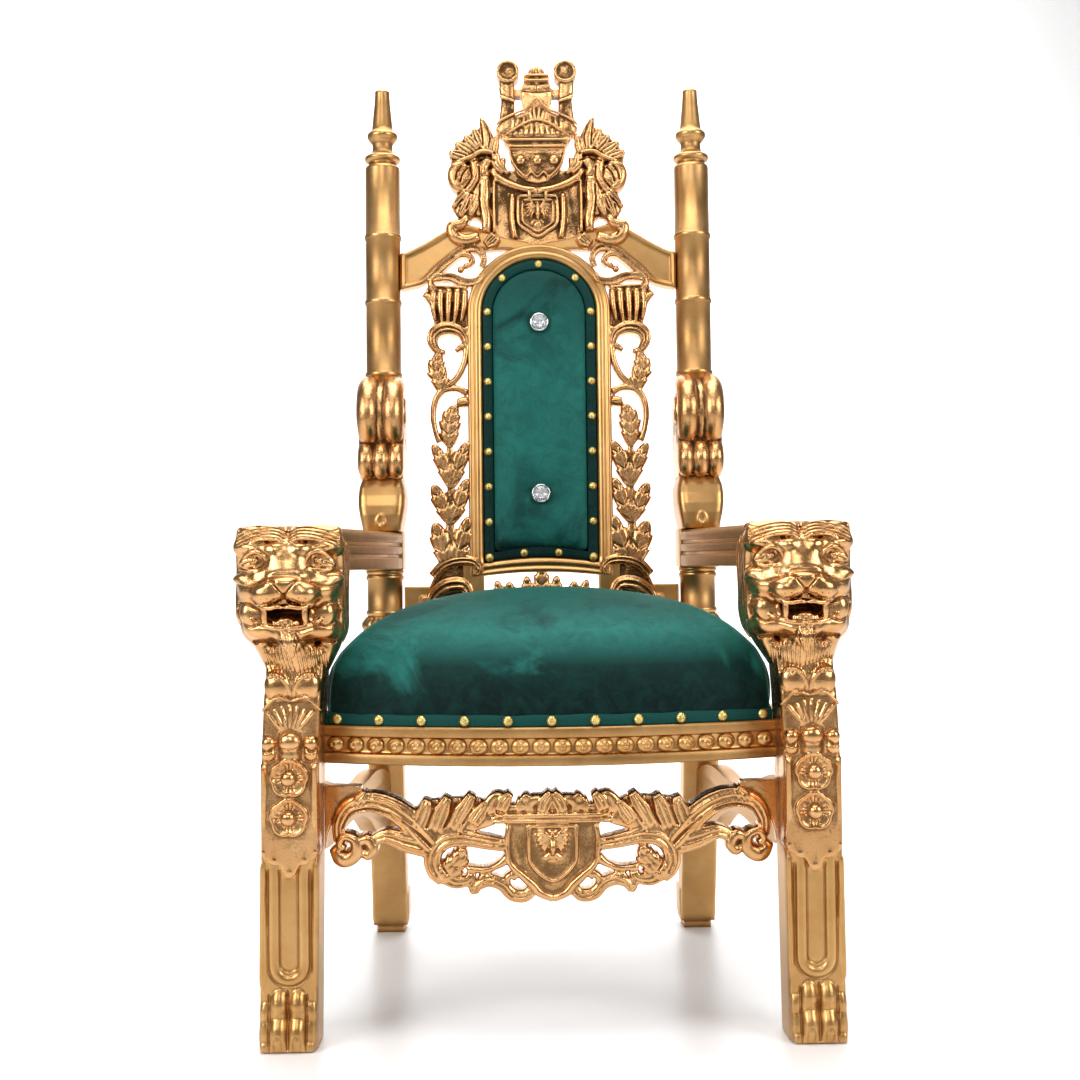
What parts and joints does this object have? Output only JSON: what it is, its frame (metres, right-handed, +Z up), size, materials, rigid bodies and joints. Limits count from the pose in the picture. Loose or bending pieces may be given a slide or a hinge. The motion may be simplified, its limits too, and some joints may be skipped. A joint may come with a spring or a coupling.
{
  "type": "throne",
  "caption": "Small carved gilded throne with lion-head arm fronts on paw-footed legs, a tall openwork back with a heraldic crest, and a buttoned velvet seat and back pad.",
  "frame": {"origin": "On the floor, under the middle of the throne's overall box.", "axes": "+Z up, -Y out of the front of the seat, X across; the left-hand pieces in the names are the ones at -X, on the left as seen from the front."},
  "size_m": [0.6822, 0.5701, 1.2635],
  "materials": {
    "leaf_gold": "carved wood under bright crinkled gold leaf with dark brown in its recesses",
    "satin_gold": "turned and carved wood in satin antique gold paint",
    "velvet": "deep green velvet with a soft nap",
    "dust_cloth": "thin black woven underside cloth",
    "crystal": "clear faceted crystal in a bright rim",
    "nail_brass": "domed, fluted antique brass upholstery nails"
  },
  "bodies": {
    "root": {"front_leg_left": "leaf_gold", "front_leg_right": "leaf_gold", "crest": "leaf_gold", "apron": "leaf_gold", "arm_left": "satin_gold", "arm_right": "satin_gold", "back_post_left": "satin_gold", "back_post_right": "satin_gold", "back_frame": "satin_gold", "front_rail": "satin_gold", "side_rail_left": "satin_gold", "side_rail_right": "satin_gold", "back_rail": "satin_gold", "side_stretcher_left": "satin_gold", "side_stretcher_right": "satin_gold", "seat_cushion": "velvet", "seat_band": "velvet", "back_pad": "velvet", "back_band": "velvet", "rear_cover": "velvet", "dust_cover": "dust_cloth", "crystal_button_upper": "crystal", "crystal_button_lower": "crystal", "back_nail_01": "nail_brass", "back_nail_02": "nail_brass", "back_nail_03": "nail_brass", "back_nail_04": "nail_brass", "back_nail_05": "nail_brass", "back_nail_06": "nail_brass", "back_nail_07": "nail_brass", "back_nail_08": "nail_brass", "back_nail_09": "nail_brass", "back_nail_10": "nail_brass", "back_nail_11": "nail_brass", "back_nail_12": "nail_brass", "back_nail_13": "nail_brass", "back_nail_14": "nail_brass", "back_nail_15": "nail_brass", "back_nail_16": "nail_brass", "back_nail_17": "nail_brass", "back_nail_18": "nail_brass", "back_nail_19": "nail_brass", "back_nail_20": "nail_brass", "back_nail_21": "nail_brass", "seat_nail_01": "nail_brass", "seat_nail_02": "nail_brass", "seat_nail_03": "nail_brass", "seat_nail_04": "nail_brass", "seat_nail_05": "nail_brass", "seat_nail_06": "nail_brass", "seat_nail_07": "nail_brass", "seat_nail_08": "nail_brass", "seat_nail_09": "nail_brass", "seat_nail_10": "nail_brass", "seat_nail_11": "nail_brass"}
  },
  "joints": []
}
